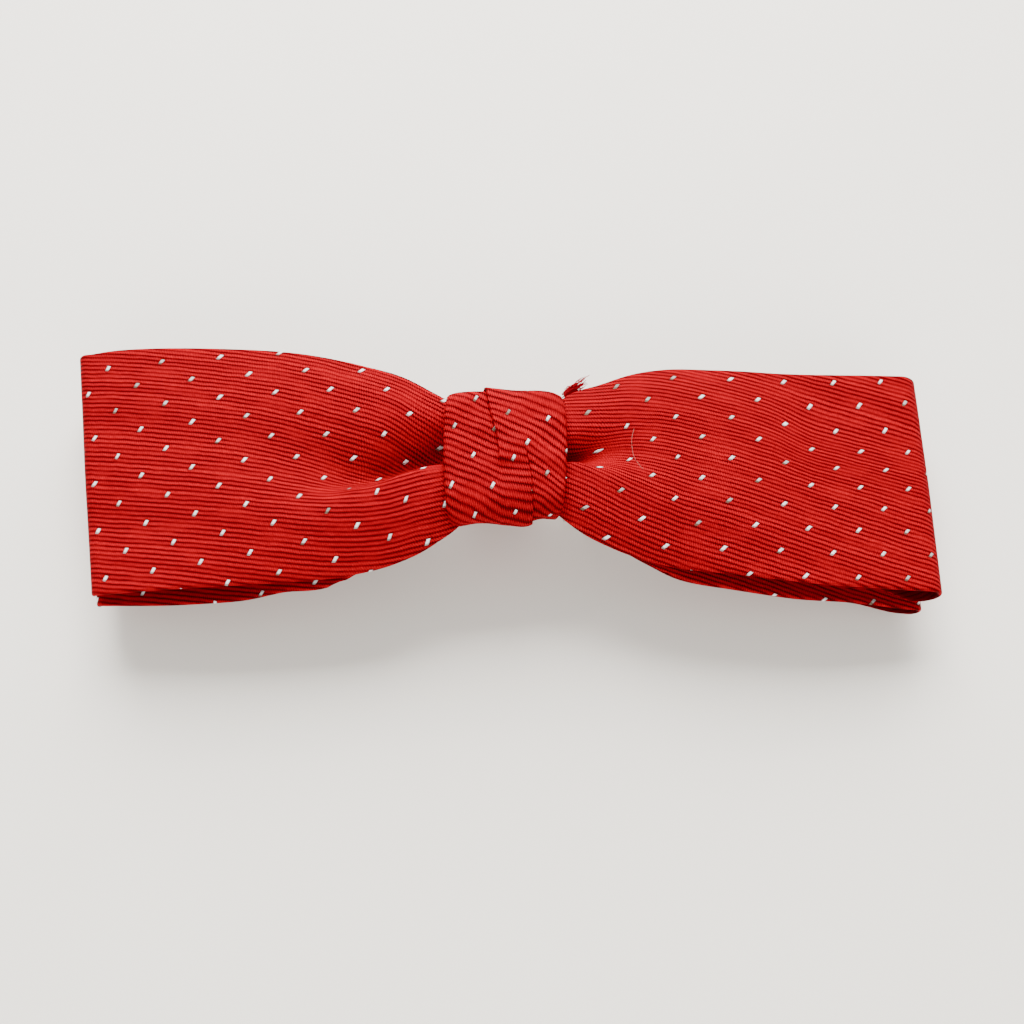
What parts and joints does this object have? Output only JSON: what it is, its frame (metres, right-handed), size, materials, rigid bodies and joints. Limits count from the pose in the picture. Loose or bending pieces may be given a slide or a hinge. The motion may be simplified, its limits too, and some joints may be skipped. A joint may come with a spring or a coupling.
{
  "type": "bow tie",
  "caption": "Pre-tied clip-on bow tie in ribbed silk, with folded straight-ended loops, a wrapped knot and sprung collar clips on a bar behind it.",
  "frame": {"origin": "centre of the bounding box in X and Y, on the flat underside of the clip levers, which is what the tie lies on", "axes": "+X along the bow, +Y up when worn, +Z towards the front of the tie"},
  "size_m": [0.1223, 0.0363, 0.0179],
  "materials": {
    "ribbed_silk": "corded twill with small silver spots",
    "interlining": "plain woven canvas",
    "sewing_thread": "twisted thread",
    "frayed_yarn": "loose silk fibres",
    "clip_steel": "polished",
    "spring_steel": "drawn wire"
  },
  "bodies": {
    "tie": {"front_bow_shell": "ribbed_silk", "front_bow_interlining": "interlining", "back_bow_shell": "ribbed_silk", "back_bow_interlining": "interlining", "knot_wrap": "ribbed_silk", "knot_interlining": "interlining", "waist_binding": "sewing_thread", "closing_stitches": "sewing_thread", "frayed_thread": "frayed_yarn", "clip_bar": "clip_steel", "left_clip_base": "clip_steel", "left_hinge_pin": "clip_steel", "left_clip_spring": "spring_steel", "left_inner_rivet": "clip_steel", "left_outer_rivet": "clip_steel", "right_clip_base": "clip_steel", "right_hinge_pin": "clip_steel", "right_clip_spring": "spring_steel", "right_inner_rivet": "clip_steel", "right_outer_rivet": "clip_steel"},
    "left_jaw": {"left_clip_lever": "clip_steel"},
    "right_jaw": {"right_clip_lever": "clip_steel"}
  },
  "joints": [
    {"name": "left_jaw_hinge", "type": "hinge", "parent": "tie", "child": "left_jaw", "pos_m": [-0.014, 0.0016, 0.0027], "axis": [0, -1, 0], "range_deg": [0, 19], "stiffness_Nm_per_rad": 0.03, "springref_deg": -57.3, "deforming": ["left_clip_spring"]},
    {"name": "right_jaw_hinge", "type": "hinge", "parent": "tie", "child": "right_jaw", "pos_m": [0.014, 0.0016, 0.0027], "axis": [0, 1, 0], "range_deg": [0, 19], "stiffness_Nm_per_rad": 0.03, "springref_deg": -57.3, "deforming": ["right_clip_spring"]}
  ]
}
